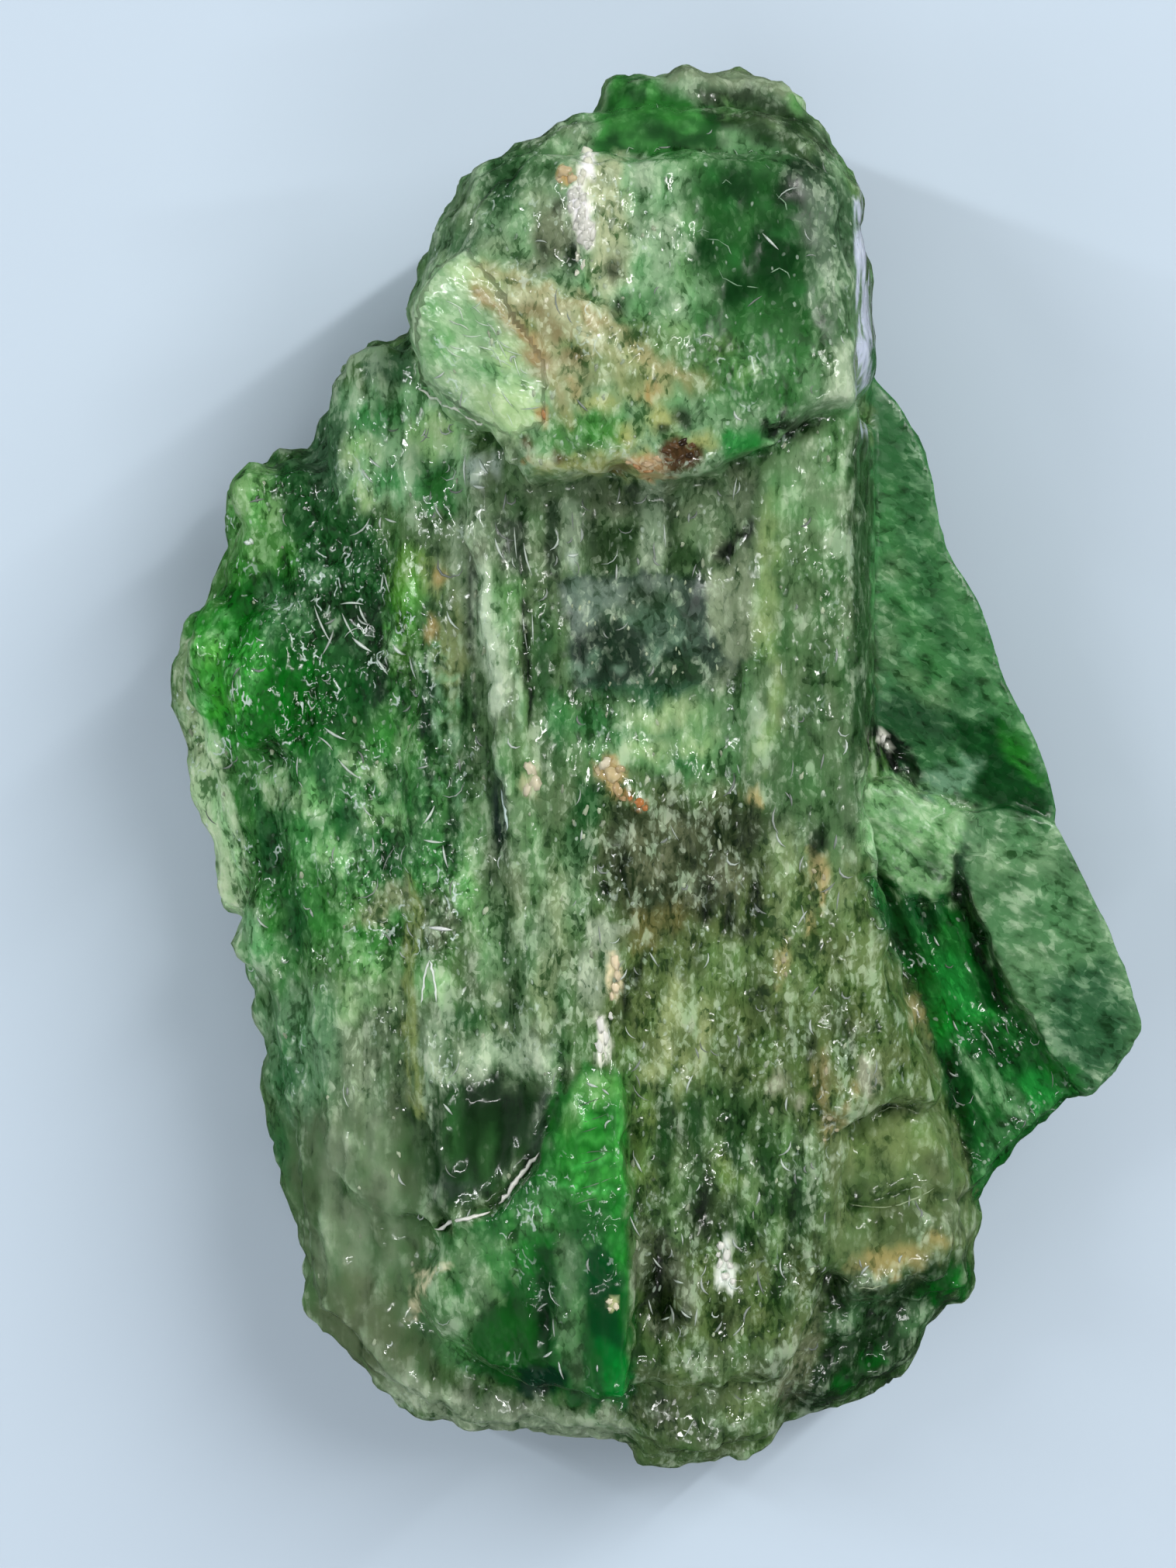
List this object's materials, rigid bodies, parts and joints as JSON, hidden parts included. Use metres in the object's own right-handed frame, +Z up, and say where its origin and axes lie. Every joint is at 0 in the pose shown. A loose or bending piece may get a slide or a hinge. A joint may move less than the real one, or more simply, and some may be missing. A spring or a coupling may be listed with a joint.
{
  "type": "chrome diopside crystal",
  "caption": "Rough green chrome diopside specimen: a fibrous bundle of grown-together prisms with a broken cap, a side cleavage slab and an end wedge, lying flat.",
  "frame": {"origin": "on the resting cleavage face, under the middle of the crystal's bounding box", "axes": "+Z up from the resting face, +Y along the fibres towards the cap end, +X towards the side with the cleavage slab"},
  "size_m": [0.0422, 0.0596, 0.0208],
  "materials": {
    "diopside": "translucent grey-green to emerald crystal, broken and fibrous, glassy on its cleavages"
  },
  "bodies": {
    "root": {"diopside_crystal": "diopside"}
  },
  "joints": []
}
